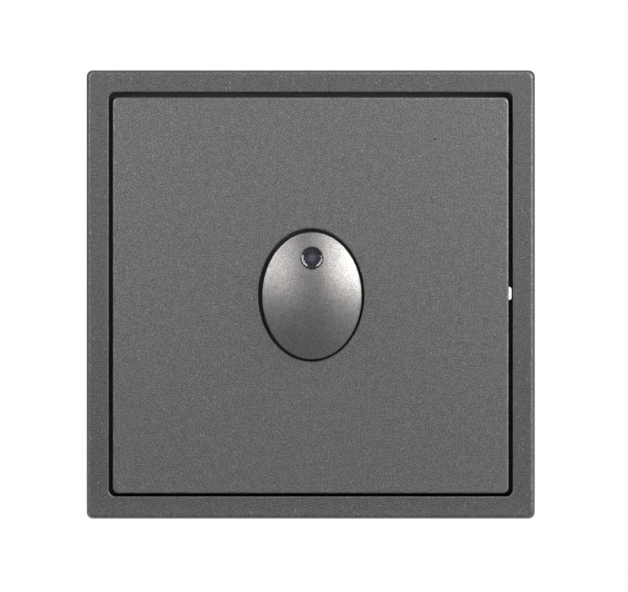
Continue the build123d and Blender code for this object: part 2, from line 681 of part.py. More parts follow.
def electrolytic_capacitor():
    """The can that sets the delay, with the rolled groove at its foot."""
    top, low = -BOARD_THICK - 0.3, -BOARD_THICK - CAN_LENGTH
    can = fillet(post(*CAN_AT, CAN_R, low, top).edges(), 0.4)
    groove = post(*CAN_AT, CAN_R + 1, top - 1.9, top - 1.3) - post(*CAN_AT, CAN_R - 0.3, top - 2, top)
    return can - groove + lead_pins(pair(CAN_AT, CAN_PITCH), top - 1)


def thyristor():
    """The power switch: a moulded body on a metal tab, on three legs."""
    x, y = THYRISTOR_AT
    top = -BOARD_THICK - 2.5
    body = block(x, y, 10, 4.4, top - 9, top)
    body = chamfer(body.faces().sort_by(Axis.Y)[0].edges(), 0.4)
    tab = block(x, y + 1.55, 10, 1.3, top - 15.4, top - 9)
    tab -= Pos(x, y + 1.55, top - 12.4) * Rot(90, 0, 0) * Cylinder(1.8, 4)
    return body + tab + lead_pins(thyristor_leads(), top - 1)


def timer_chip():
    """The eight-legged timing chip."""
    x, y = CHIP_AT
    top = -BOARD_THICK - 0.5
    body = block(x, y, CHIP_SIZE[0], CHIP_SIZE[1], top - CHIP_SIZE[2], top)
    body -= post(x - CHIP_SIZE[0] / 2, y, 0.8, top - CHIP_SIZE[2] - 1, top - CHIP_SIZE[2] + 0.6)
    knee = top - CHIP_SIZE[2] / 2
    for pin_x, pin_y in chip_leads():
        inward = CHIP_SIZE[1] / 2 - 0.2
        edge = y + inward if pin_y > y else y - inward
        body += block(pin_x, (edge + pin_y) / 2, 1.2, abs(pin_y - edge) + 0.3, knee - 0.15, knee + 0.15)
        body += block(pin_x, pin_y, 0.5, 0.3, knee - 0.15, SOLDER_TOP)
    return body


def axial_part(x, y, radius, length):
    """A part lying along y under the board, on two legs bent down from its ends."""
    height = -BOARD_THICK - AXIAL_HEIGHT + radius
    body = Pos(x, y, height) * Rot(90, 0, 0) * Cylinder(radius, length)
    body = fillet(body.edges().filter_by(GeomType.CIRCLE), 0.3)
    half = AXIAL_PITCH / 2
    bend = FilletPolyline(
        (x, y - half, SOLDER_TOP), (x, y - half, height), (x, y + half, height), (x, y + half, SOLDER_TOP),
        radius=0.8,
    )
    wire = sweep(Plane(bend @ 0, z_dir=bend % 0) * Circle(LEAD_R), bend)
    return body + wire


def rectifier_diodes():
    return Compound([axial_part(x, DIODE_Y, DIODE_R, DIODE_LENGTH) for x in DIODE_XS])


def resistors():
    return Compound([axial_part(x, RESISTOR_Y, RESISTOR_R, RESISTOR_LENGTH) for x in RESISTOR_XS])


def varistor():
    """The disc that takes surges, on two legs."""
    x, y = VARISTOR_AT
    middle = -BOARD_THICK - 1.5 - VARISTOR_R
    disc = Pos(x, y, middle) * Rot(90, 0, 0) * Cylinder(VARISTOR_R, VARISTOR_THICK)
    disc = fillet(disc.edges().filter_by(GeomType.CIRCLE), 1.2)
    return disc + lead_pins(pair(VARISTOR_AT, VARISTOR_PITCH), middle)


PIECES = {
    "outer_frame": outer_frame(),
    "front_panel": front_panel(),
    "oval_button": oval_button(),
    "indicator_lens": indicator_lens(),
    "indicator_led": indicator_led(),
    "led_leadframe": led_leadframe(),
    "led_spacer": led_spacer(),
    "button_spring_left": button_spring(-1),
    "button_spring_right": button_spring(1),
    "push_switch_body": push_switch_body(),
    "push_switch_plunger": push_switch_plunger(),
    "carrier": carrier(),
    "steel_strap": steel_strap(),
    "rear_housing": rear_housing(),
    "housing_screws": housing_screws(),
    "terminal_plate_left": terminal_plate(-1),
    "terminal_plate_right": terminal_plate(1),
    "clamp_washer_left": clamp_washer(-1),
    "clamp_washer_right": clamp_washer(1),
    "terminal_screw_left": terminal_screw(-1),
    "terminal_screw_right": terminal_screw(1),
    "circuit_board": circuit_board(),
    "film_capacitor": film_capacitor(),
    "electrolytic_capacitor": electrolytic_capacitor(),
    "thyristor": thyristor(),
    "timer_chip": timer_chip(),
    "rectifier_diodes": rectifier_diodes(),
    "resistors": resistors(),
    "varistor": varistor(),
}

os.makedirs("parts", exist_ok=True)
for name, piece in PIECES.items():
    export_step(upright(piece), f"parts/{name}.step")
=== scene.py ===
"""Looks of a flush time delay switch: its finishes, its return springs, and the studio round it."""

import logging
import math
from dataclasses import dataclass, field
from enum import Enum
from typing import ClassVar

import bmesh
import bpy
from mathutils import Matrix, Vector


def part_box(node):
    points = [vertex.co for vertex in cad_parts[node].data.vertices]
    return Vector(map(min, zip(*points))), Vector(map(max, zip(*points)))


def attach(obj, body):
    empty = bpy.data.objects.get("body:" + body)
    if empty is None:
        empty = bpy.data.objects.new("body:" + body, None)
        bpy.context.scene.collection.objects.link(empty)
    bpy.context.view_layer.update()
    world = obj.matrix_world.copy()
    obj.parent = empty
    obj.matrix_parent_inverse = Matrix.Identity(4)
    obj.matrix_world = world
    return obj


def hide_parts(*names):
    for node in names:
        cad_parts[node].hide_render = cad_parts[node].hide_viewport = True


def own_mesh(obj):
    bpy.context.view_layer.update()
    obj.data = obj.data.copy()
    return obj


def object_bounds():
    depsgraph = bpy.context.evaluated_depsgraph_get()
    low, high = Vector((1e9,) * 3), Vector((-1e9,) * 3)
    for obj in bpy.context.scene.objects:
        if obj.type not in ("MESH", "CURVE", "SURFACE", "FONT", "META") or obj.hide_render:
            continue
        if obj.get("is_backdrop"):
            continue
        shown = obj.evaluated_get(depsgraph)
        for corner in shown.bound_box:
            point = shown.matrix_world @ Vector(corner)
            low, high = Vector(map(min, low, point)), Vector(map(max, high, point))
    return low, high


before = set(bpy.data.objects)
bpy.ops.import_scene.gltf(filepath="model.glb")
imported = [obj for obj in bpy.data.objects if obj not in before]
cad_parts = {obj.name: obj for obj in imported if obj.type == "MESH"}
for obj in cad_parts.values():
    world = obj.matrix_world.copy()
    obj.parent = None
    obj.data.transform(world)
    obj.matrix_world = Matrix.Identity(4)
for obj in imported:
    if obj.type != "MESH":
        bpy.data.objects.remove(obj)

LOG = logging.getLogger("time_delay_switch")
MM = 0.001

Colour = tuple[float, float, float]
Value = bpy.types.NodeSocket | float | tuple[float, ...]


class Kind(Enum):
    """What a group's socket carries."""

    VALUE = "NodeSocketFloat"
    COLOUR = "NodeSocketColor"


class Place(Enum):
    """The corners of the studio, as (azimuth from the front, elevation) in degrees."""

    RIGHT = (36.0, 24.0)
    WIDE_RIGHT = (62.0, 20.0)
    FAR_RIGHT = (84.0, 8.0)
    HIGH_RIGHT = (81.0, 43.0)
    TOP_RIGHT = (30.0, 60.0)
    LEFT = (-38.0, 22.0)
    WIDE_LEFT = (-62.0, 20.0)
    FAR_LEFT = (-84.0, 8.0)
    HIGH_LEFT = (-81.0, 43.0)
    FRONT = (-8.0, 4.0)
    FRONT_LEFT = (-20.0, 10.0)
    BEHIND = (180.0, 0.0)


def opaque(colour: Colour) -> tuple[float, float, float, float]:
    """Gives a colour the full alpha that a colour socket wants."""
    return (*colour, 1.0)


@dataclass
class Wiring:
    """Adds nodes to one tree and joins them up."""

    tree: bpy.types.NodeTree

    def node(self, kind: str, **settings: object) -> bpy.types.Node:
        """Adds a node.

        Args:
            kind: Blender's name for the node.
            settings: Properties to set on it.

        Returns:
            The new node.
        """
        made = self.tree.nodes.new(kind)
        for name, value in settings.items():
            setattr(made, name, value)
        return made

    def feed(self, socket: bpy.types.NodeSocket, value: Value) -> None:
        """Joins a socket to another, or sets it to a plain value.

        Args:
            socket: The input that is fed.
            value: An output socket, a number, or the parts of a colour or vector.
        """
        if isinstance(value, bpy.types.NodeSocket):
            self.tree.links.new(value, socket)
        else:
            socket.default_value = value

    def sum(self, operation: str, *values: Value, clamp: bool = False) -> bpy.types.NodeSocket:
        """Works out one number from others.

        Args:
            operation: The Math node's operation.
            values: Its inputs in order.
            clamp: Whether the result is kept between 0 and 1.

        Returns:
            The socket with the result.
        """
        node = self.node("ShaderNodeMath", operation=operation, use_clamp=clamp)
        for socket, value in zip(node.inputs, values):
            self.feed(socket, value)
        return node.outputs[0]

    def ramp(self, value: Value, low: float, high: float, start: float, end: float) -> bpy.types.NodeSocket:
        """Carries a number smoothly from one range to another.

        Args:
            value: The number.
            low: Where the first range starts.
            high: Where the first range ends.
            start: What low becomes.
            end: What high becomes.

        Returns:
            The socket with the result.
        """
        node = self.node("ShaderNodeMapRange", interpolation_type="SMOOTHSTEP")
        for socket, given in zip(node.inputs, (value, low, high, start, end)):
            self.feed(socket, given)
        return node.outputs[0]

    def blend(self, share: Value, first: Value, second: Value) -> bpy.types.NodeSocket:
        """Mixes two colours.

        Args:
            share: How much of the second colour shows.
            first: The first colour.
            second: The second colour.

        Returns:
            The socket with the mixed colour.
        """
        node = self.node("ShaderNodeMix", data_type="RGBA", clamp_factor=True)
        for index, value in ((0, share), (6, first), (7, second)):
            self.feed(node.inputs[index], value)
        return node.outputs[2]

    def noise(
        self, where: Value, scale: Value, detail: float = 2.0, rough: float = 0.6,
    ) -> bpy.types.NodeSocket:
        """Cloudy noise.

        Args:
            where: The place it is read at.
            scale: Clouds to the metre.
            detail: How many finer layers it has.
            rough: How strong those layers are.

        Returns:
            The socket with a value near a half.
        """
        node = self.node("ShaderNodeTexNoise")
        self.feed(node.inputs["Vector"], where)
        self.feed(node.inputs["Scale"], scale)
        self.feed(node.inputs["Detail"], detail)
        self.feed(node.inputs["Roughness"], rough)
        return node.outputs["Fac"]

    def place(self) -> bpy.types.NodeSocket:
        """The point on the piece, in metres in the part's own frame."""
        return self.node("ShaderNodeTexCoord").outputs["Object"]


class Effect:
    """An effect that several finishes share: a node group with named sockets, built once."""

    title: ClassVar[str] = ""
    takes: ClassVar[dict[str, tuple[Kind, object]]] = {}
    gives: ClassVar[dict[str, Kind]] = {}

    def tree(self) -> bpy.types.NodeTree:
        """Finds the group, or builds it the first time.

        Returns:
            The shared node tree.
        """
        if self.title in bpy.data.node_groups:
            return bpy.data.node_groups[self.title]
        group = bpy.data.node_groups.new(self.title, "ShaderNodeTree")
        for name, (kind, default) in self.takes.items():
            group.interface.new_socket(name, in_out="INPUT", socket_type=kind.value).default_value = default
        for name, kind in self.gives.items():
            group.interface.new_socket(name, in_out="OUTPUT", socket_type=kind.value)
        wiring = Wiring(group)
        given = wiring.node("NodeGroupInput").outputs
        made = wiring.node("NodeGroupOutput").inputs
        for name, value in self.work(wiring, given).items():
            wiring.feed(made[name], value)
        return group

    def work(self, wiring: Wiring, given: bpy.types.NodeOutputs) -> dict[str, Value]:
        """Works out what the group gives.

        Args:
            wiring: The group's tree.
            given: The group's inputs.

        Returns:
            A value for each of its outputs.
        """
        raise NotImplementedError

    def use(self, wiring: Wiring, **values: Value) -> bpy.types.NodeOutputs:
        """Places the group in a material.

        Args:
            wiring: The material's tree.
            values: What its inputs are given, with underscores for spaces.

        Returns:
            The placed group's outputs.
        """
        node = wiring.node("ShaderNodeGroup", node_tree=self.tree())
        for name, value in values.items():
            wiring.feed(node.inputs[name.replace("_", " ")], value)
        return node.outputs


class FlakeGrain(Effect):
    """The fine, cloudy sparkle of a metallic paint, with a few brighter flakes."""

    title = "Flake grain"
    takes = {
        "Paint": (Kind.COLOUR, (0.1, 0.1, 0.1, 1)),
        "Flake": (Kind.COLOUR, (0.4, 0.4, 0.4, 1)),
        "Grains": (Kind.VALUE, 2400.0),
        "Contrast": (Kind.VALUE, 0.5),
        "Glint": (Kind.COLOUR, (0.8, 0.8, 0.8, 1)),
        "Sparkle": (Kind.VALUE, 0.5),
        "Gloss": (Kind.VALUE, 0.4),
    }
    gives = {"Colour": Kind.COLOUR, "Roughness": Kind.VALUE, "Height": Kind.VALUE}
    cloud_scale: ClassVar[float] = 0.2
    cloud_share: ClassVar[float] = 0.12
    grain_band: ClassVar[tuple[float, float]] = (0.36, 0.64)
    flake_scale: ClassVar[float] = 0.42
    plain_cells: ClassVar[float] = 0.84
    flake_edge: ClassVar[tuple[float, float]] = (0.05, 0.3)
    flake_polish: ClassVar[float] = 0.06

    def flakes(self, wiring: Wiring, where: Value, grains: Value) -> bpy.types.NodeSocket:
        """Picks a few cells and marks their middles.

        Args:
            wiring: The group's tree.
            where: The place it is read at.
            grains: Grains to the metre.

        Returns:
            The socket with 1 on a bright flake.
        """
        cells = wiring.node("ShaderNodeTexVoronoi", feature="F1")
        wiring.feed(cells.inputs["Vector"], where)
        wiring.feed(cells.inputs["Scale"], wiring.sum("MULTIPLY", grains, self.flake_scale))
        tone = wiring.node("ShaderNodeSeparateColor")
        wiring.feed(tone.inputs["Color"], cells.outputs["Color"])
        chosen = wiring.sum("GREATER_THAN", tone.outputs[0], self.plain_cells)
        near = wiring.ramp(cells.outputs["Distance"], *self.flake_edge, 1.0, 0.0)
        return wiring.sum("MULTIPLY", chosen, near)

    def work(self, wiring: Wiring, given: bpy.types.NodeOutputs) -> dict[str, Value]:
        """Fine noise with a trace of broad cloud for the grain, and lone bright cells for the flakes.

        Args:
            wiring: The group's tree.
            given: The group's inputs.

        Returns:
            The colour, roughness and height.
        """
        where = wiring.place()
        fine = wiring.noise(where, given["Grains"], detail=1.5, rough=0.8)
        clouds = wiring.noise(where, wiring.sum("MULTIPLY", given["Grains"], self.cloud_scale), detail=1.0)
        fine_part = wiring.sum("MULTIPLY", fine, 1 - self.cloud_share)
        grain = wiring.sum("ADD", fine_part, wiring.sum("MULTIPLY", clouds, self.cloud_share))
        share = wiring.sum("MULTIPLY", wiring.ramp(grain, *self.grain_band, 0.0, 1.0), given["Contrast"])
        paint = wiring.blend(share, given["Paint"], given["Flake"])
        flake = wiring.sum("MULTIPLY", self.flakes(wiring, where, given["Grains"]), given["Sparkle"])
        polish = wiring.sum("MULTIPLY", share, self.flake_polish)
        return {
            "Colour": wiring.blend(flake, paint, given["Glint"]),
            "Roughness": wiring.sum("SUBTRACT", given["Gloss"], polish),
            "Height": grain,
        }


class MouldSkin(Effect):
    """The faint eroded skin and uneven tone of a moulded plastic."""

    title = "Mould skin"
    takes = {
        "Plastic": (Kind.COLOUR, (0.5, 0.5, 0.5, 1)),
        "Shade": (Kind.COLOUR, (0.4, 0.4, 0.4, 1)),
        "Pores": (Kind.VALUE, 3000.0),
        "Gloss": (Kind.VALUE, 0.5),
    }
    gives = {"Colour": Kind.COLOUR, "Roughness": Kind.VALUE, "Height": Kind.VALUE}
    flow_scale: ClassVar[float] = 70.0
    flow_band: ClassVar[tuple[float, float]] = (0.3, 0.7)
    flow_shade: ClassVar[float] = 0.6
    pore_band: ClassVar[tuple[float, float]] = (0.4, 0.7)
    pore_shade: ClassVar[float] = 0.25
    pore_dullness: ClassVar[float] = 0.12

    def work(self, wiring: Wiring, given: bpy.types.NodeOutputs) -> dict[str, Value]:
        """Pores for the skin, and a slow flow of tone across the piece.

        Args:
            wiring: The group's tree.
            given: The group's inputs.

        Returns:
            The colour, roughness and height.
        """
        where = wiring.place()
        pores = wiring.noise(where, given["Pores"], detail=2.0)
        flow = wiring.noise(where, self.flow_scale, detail=3.0, rough=0.5)
        flow_tone = wiring.ramp(flow, *self.flow_band, 0.0, self.flow_shade)
        pore_tone = wiring.ramp(pores, *self.pore_band, 0.0, self.pore_shade)
        dullness = wiring.sum("MULTIPLY", pores, self.pore_dullness)
        return {
            "Colour": wiring.blend(wiring.sum("ADD", flow_tone, pore_tone), given["Plastic"], given["Shade"]),
            "Roughness": wiring.sum("ADD", given["Gloss"], dullness),
            "Height": pores,
        }


class PlateBloom(Effect):
    """The uneven bloom and rolling lines of plated or plain metal."""

    title = "Plate bloom"
    takes = {
        "Metal": (Kind.COLOUR, (0.6, 0.6, 0.6, 1)),
        "Bloom": (Kind.COLOUR, (0.4, 0.4, 0.4, 1)),
        "Amount": (Kind.VALUE, 0.5),
        "Gloss": (Kind.VALUE, 0.3),
    }
    gives = {"Colour": Kind.COLOUR, "Roughness": Kind.VALUE, "Height": Kind.VALUE}
    blotch_scale: ClassVar[float] = 260.0
    blotch_band: ClassVar[tuple[float, float]] = (0.35, 0.7)
    bloom_dullness: ClassVar[float] = 0.2
    line_scale: ClassVar[float] = 5200.0
    line_stretch: ClassVar[tuple[float, float, float]] = (0.06, 1.0, 1.0)

    def work(self, wiring: Wiring, given: bpy.types.NodeOutputs) -> dict[str, Value]:
        """Blotches for the bloom, and noise drawn out along X for the rolling lines.

        Args:
            wiring: The group's tree.
            given: The group's inputs.

        Returns:
            The colour, roughness and height.
        """
        where = wiring.place()
        blotch = wiring.noise(where, self.blotch_scale, detail=4.0)
        drawn = wiring.node("ShaderNodeVectorMath", operation="MULTIPLY")
        wiring.feed(drawn.inputs[0], where)
        wiring.feed(drawn.inputs[1], self.line_stretch)
        share = wiring.sum("MULTIPLY", wiring.ramp(blotch, *self.blotch_band, 0.0, 1.0), given["Amount"])
        dullness = wiring.sum("MULTIPLY", share, self.bloom_dullness)
        return {
            "Colour": wiring.blend(share, given["Metal"], given["Bloom"]),
            "Roughness": wiring.sum("ADD", given["Gloss"], dullness),
            "Height": wiring.noise(drawn.outputs[0], self.line_scale, detail=2.0),
        }


class SprayReach(Effect):
    """Where sprayed paint ends: the outside is covered, and the inside shows the bare moulding."""

    title = "Spray reach"
    takes = {"Half side": (Kind.VALUE, 0.041), "Back": (Kind.VALUE, 0.0068)}
    gives = {"Bare": Kind.VALUE}
    side_overspray: ClassVar[float] = 0.2 * MM
    back_overspray: ClassVar[float] = 0.4 * MM

    def work(self, wiring: Wiring, given: bpy.types.NodeOutputs) -> dict[str, Value]:
        """Bare where the point is behind the skin and within the walls, with a soft edge of overspray.

        Args:
            wiring: The group's tree.
            given: The group's inputs.

        Returns:
            How bare the point is.
        """
        parts = wiring.node("ShaderNodeSeparateXYZ")
        wiring.feed(parts.inputs[0], wiring.place())
        across = wiring.sum("ABSOLUTE", parts.outputs["X"])
        up = wiring.sum("ABSOLUTE", parts.outputs["Z"])
        margin = wiring.sum("SUBTRACT", given["Half side"], wiring.sum("MAXIMUM", across, up))
        depth = wiring.sum("ADD", parts.outputs["Y"], given["Back"])
        within = wiring.ramp(margin, 0.0, self.side_overspray, 0.0, 1.0)
        behind = wiring.ramp(depth, 0.0, self.back_overspray, 0.0, 1.0)
        return {"Bare": wiring.sum("MULTIPLY", within, behind)}


@dataclass(frozen=True)
class Finish:
    """What every finish has: a name and a material built from it."""

    name: str

    def material(self) -> bpy.types.Material:
        """Builds the material, or finds it if it is built.

        Returns:
            The material, with its surface wired up.
        """
        if self.name in bpy.data.materials and bpy.data.materials[self.name].get("made_here"):
            return bpy.data.materials[self.name]
        made = bpy.data.materials.new(self.name)
        made["made_here"] = True
        made.use_nodes = True
        wiring = Wiring(made.node_tree)
        self.surface(wiring, made.node_tree.nodes["Principled BSDF"])
        return made

    def surface(self, wiring: Wiring, shader: bpy.types.Node) -> None:
        """Wires the finish to the shader.

        Args:
            wiring: The material's tree.
            shader: Its Principled BSDF.
        """
        raise NotImplementedError

    def bump(
        self, wiring: Wiring, shader: bpy.types.Node, height: Value, strength: float, depth: float,
    ) -> None:
        """Raises the surface's grain.

        Args:
            wiring: The material's tree.
            shader: Its Principled BSDF.
            height: The height over the surface.
            strength: How much of the bump shows.
            depth: How deep it is, in metres.
        """
        node = wiring.node("ShaderNodeBump")
        node.inputs["Strength"].default_value = strength
        node.inputs["Distance"].default_value = depth
        wiring.feed(node.inputs["Height"], height)
        wiring.feed(shader.inputs["Normal"], node.outputs["Normal"])


@dataclass(frozen=True)
class Speck:
    """A small mark on a painted face, seen from the front."""

    x: float
    z: float
    radius: float
    colour: Colour


@dataclass(frozen=True)
class MetallicPaint(Finish):
    """Metallic paint sprayed over a moulding, bare inside."""

    paint: Colour = (0.1, 0.1, 0.1)
    flake: Colour = (0.4, 0.4, 0.4)
    glint: Colour = (0.5, 0.487, 0.491)
    moulding: Colour = (0.16, 0.16, 0.165)
    metallic: float = 0.8
    gloss: float = 0.4
    grains: float = 3400.0
    contrast: float = 0.85
    sparkle: float = 0.7
    half_side: float = 0.041
    back: float = 0.0068
    bump_strength: float = 0.35
    bump_depth: float = 0.03 * MM
    specks: tuple[Speck, ...] = ()

    def marked(self, wiring: Wiring, colour: Value) -> Value:
        """Adds the specks.

        Args:
            wiring: The material's tree.
            colour: The paint's colour.

        Returns:
            The colour with the specks on it.
        """
        parts = wiring.node("ShaderNodeSeparateXYZ")
        wiring.feed(parts.inputs[0], wiring.place())
        for speck in self.specks:
            across = wiring.sum("SUBTRACT", parts.outputs["X"], speck.x)
            up = wiring.sum("SUBTRACT", parts.outputs["Z"], speck.z)
            across_squared = wiring.sum("MULTIPLY", across, across)
            up_squared = wiring.sum("MULTIPLY", up, up)
            away = wiring.sum("SQRT", wiring.sum("ADD", across_squared, up_squared))
            share = wiring.ramp(away, speck.radius / 2, speck.radius, 1.0, 0.0)
            colour = wiring.blend(share, colour, opaque(speck.colour))
        return colour

    def surface(self, wiring: Wiring, shader: bpy.types.Node) -> None:
        """Grain and specks on the paint, and the bare moulding behind it.

        Args:
            wiring: The material's tree.
            shader: Its Principled BSDF.
        """
        grain = FlakeGrain().use(
            wiring,
            Paint=opaque(self.paint),
            Flake=opaque(self.flake),
            Glint=opaque(self.glint),
            Grains=self.grains,
            Contrast=self.contrast,
            Sparkle=self.sparkle,
            Gloss=self.gloss,
        )
        bare = SprayReach().use(wiring, Half_side=self.half_side, Back=self.back)["Bare"]
        painted = self.marked(wiring, grain["Colour"])
        wiring.feed(shader.inputs["Base Color"], wiring.blend(bare, painted, opaque(self.moulding)))
        wiring.feed(shader.inputs["Metallic"], wiring.ramp(bare, 0.0, 1.0, self.metallic, 0.0))
        wiring.feed(shader.inputs["Roughness"], grain["Roughness"])
        self.bump(wiring, shader, grain["Height"], self.bump_strength, self.bump_depth)


@dataclass(frozen=True)
class MouldedPlastic(Finish):
    """A plain moulded plastic."""

    plastic: Colour = (0.5, 0.5, 0.5)
    shade: Colour = (0.42, 0.42, 0.42)
    gloss: float = 0.45
    pores: float = 3000.0
    bump_strength: float = 0.5
    bump_depth: float = 0.04 * MM

    def surface(self, wiring: Wiring, shader: bpy.types.Node) -> None:
        """Tone, gloss and pores from the mould skin.

        Args:
            wiring: The material's tree.
            shader: Its Principled BSDF.
        """
        skin = MouldSkin().use(
            wiring,
            Plastic=opaque(self.plastic),
            Shade=opaque(self.shade),
            Pores=self.pores,
            Gloss=self.gloss,
        )
        wiring.feed(shader.inputs["Base Color"], skin["Colour"])
        wiring.feed(shader.inputs["Roughness"], skin["Roughness"])
        self.bump(wiring, shader, skin["Height"], self.bump_strength, self.bump_depth)


@dataclass(frozen=True)
class SheetMetal(Finish):
    """Plated steel, brass or tinned copper."""

    metal: Colour = (0.6, 0.6, 0.6)
    bloom: Colour = (0.4, 0.4, 0.4)
    amount: float = 0.5
    gloss: float = 0.28
    bump_strength: float = 0.3
    bump_depth: float = 0.02 * MM

    def surface(self, wiring: Wiring, shader: bpy.types.Node) -> None:
        """Bloom over the metal, and its rolling lines.

        Args:
            wiring: The material's tree.
            shader: Its Principled BSDF.
        """
        plate = PlateBloom().use(
            wiring,
            Metal=opaque(self.metal),
            Bloom=opaque(self.bloom),
            Amount=self.amount,
            Gloss=self.gloss,
        )
        shader.inputs["Metallic"].default_value = 1.0
        wiring.feed(shader.inputs["Base Color"], plate["Colour"])
        wiring.feed(shader.inputs["Roughness"], plate["Roughness"])
        self.bump(wiring, shader, plate["Height"], self.bump_strength, self.bump_depth)


@dataclass(frozen=True)
class ClearPlastic(Finish):
    """Clear moulded plastic or cast resin."""

    tint: Colour = (0.95, 0.96, 0.98)
    ior: float = 1.52
    gloss: float = 0.04
    clearness: float = 1.0
    haze_scale: float = 900.0
    haze_band: tuple[float, float] = (0.35, 0.7)
    haze_spread: tuple[float, float] = (0.5, 1.5)

    def surface(self, wiring: Wiring, shader: bpy.types.Node) -> None:
        """Clear all through, with faint moulding haze on its surface, and light passes to what it covers.

        Args:
            wiring: The material's tree.
            shader: Its Principled BSDF.
        """
        shader.inputs["Transmission Weight"].default_value = self.clearness
        shader.inputs["IOR"].default_value = self.ior
        shader.inputs["Base Color"].default_value = opaque(self.tint)
        haze = wiring.noise(wiring.place(), self.haze_scale)
        gloss = [self.gloss * share for share in self.haze_spread]
        wiring.feed(shader.inputs["Roughness"], wiring.ramp(haze, *self.haze_band, *gloss))
        clear = wiring.node("ShaderNodeBsdfTransparent")
        clear.inputs["Color"].default_value = opaque(self.tint)
        light = wiring.node("ShaderNodeMixShader")
        wiring.feed(light.inputs[0], wiring.node("ShaderNodeLightPath").outputs["Is Shadow Ray"])
        wiring.feed(light.inputs[1], shader.outputs[0])
        wiring.feed(light.inputs[2], clear.outputs[0])
        wiring.feed(wiring.tree.nodes["Material Output"].inputs["Surface"], light.outputs[0])


def dress(node: str, finish: Finish) -> None:
    """Gives a CAD node its finish.

    Args:
        node: The node's name.
        finish: What it is finished in.
    """
    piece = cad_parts[node]
    piece.data.materials.clear()
    piece.data.materials.append(finish.material())
    LOG.info("dressed %s in %s", node, finish.name)


@dataclass
class FrontPlate:
    """The surround and the clipped panel, sprayed in the same graphite."""

    half_side: float = 41.2 * MM
    panel_half_side: float = 36.5 * MM
    paint_back: float = 6.95 * MM
    dark_fleck: Speck = Speck(x=23.8 * MM, z=29.7 * MM, radius=0.26 * MM, colour=(0.012, 0.012, 0.014))
    pale_fleck: Speck = Speck(x=-40.6 * MM, z=-36.0 * MM, radius=0.16 * MM, colour=(0.62, 0.62, 0.62))

    def dress(self) -> None:
        """Finishes both mouldings."""
        dress("outer_frame", MetallicPaint(
            "graphite_frame_paint",
            paint=(0.1, 0.0975, 0.0985),
            flake=(0.237, 0.2305, 0.233),
            metallic=0.75,
            gloss=0.5,
            half_side=self.half_side,
            back=self.paint_back,
            specks=(self.pale_fleck,),
        ))
        dress("front_panel", MetallicPaint(
            "graphite_panel_paint",
            paint=(0.126, 0.123, 0.1245),
            flake=(0.31, 0.3015, 0.305),
            metallic=0.75,
            gloss=0.5,
            half_side=self.panel_half_side,
            back=self.paint_back,
            specks=(self.dark_fleck,),
        ))


@dataclass
class PushButton:
    """The domed button, in the same hue but glossier, its paint lightened as painted light and its bare
    moulding darkened as painted shade, and its clear indicator.
    """

    half_side: float = 14.2 * MM
    paint_back: float = 8.6 * MM

    def dress(self) -> None:
        """Finishes the button, the lens and the lamp under it."""
        dress("oval_button", MetallicPaint(
            "graphite_button_paint_with_painted_light",
            # Painted light: paint and flake are lighter and warmer than the plate's graphite, to stand in for
            # lamp light on the dome.
            paint=(0.22, 0.2145, 0.211),
            flake=(0.5, 0.484, 0.468),
            # Painted shade: the bare moulding is near black so the gap round the button reads dark; the bare
            # plastic itself is real.
            moulding=(0.04, 0.04, 0.045),
            metallic=0.9,
            gloss=0.42,
            grains=4000.0,
            contrast=0.55,
            half_side=self.half_side,
            back=self.paint_back,
        ))
        dress("indicator_lens", ClearPlastic(
            "clear_lens", tint=(0.92, 0.93, 0.98), ior=1.58, clearness=0.988,
        ))
        dress("indicator_led", ClearPlastic(
            "lamp_resin", tint=(0.7, 0.68, 0.92), ior=1.5, gloss=0.05, clearness=0.9,
        ))
        dress("led_leadframe", SheetMetal("lamp_leadframe", metal=(0.85, 0.84, 0.83), amount=0.2, gloss=0.3))
        dress("led_spacer", MouldedPlastic(
            "dark_spacer", plastic=(0.14, 0.14, 0.2), shade=(0.1, 0.1, 0.15), gloss=0.5,
        ))


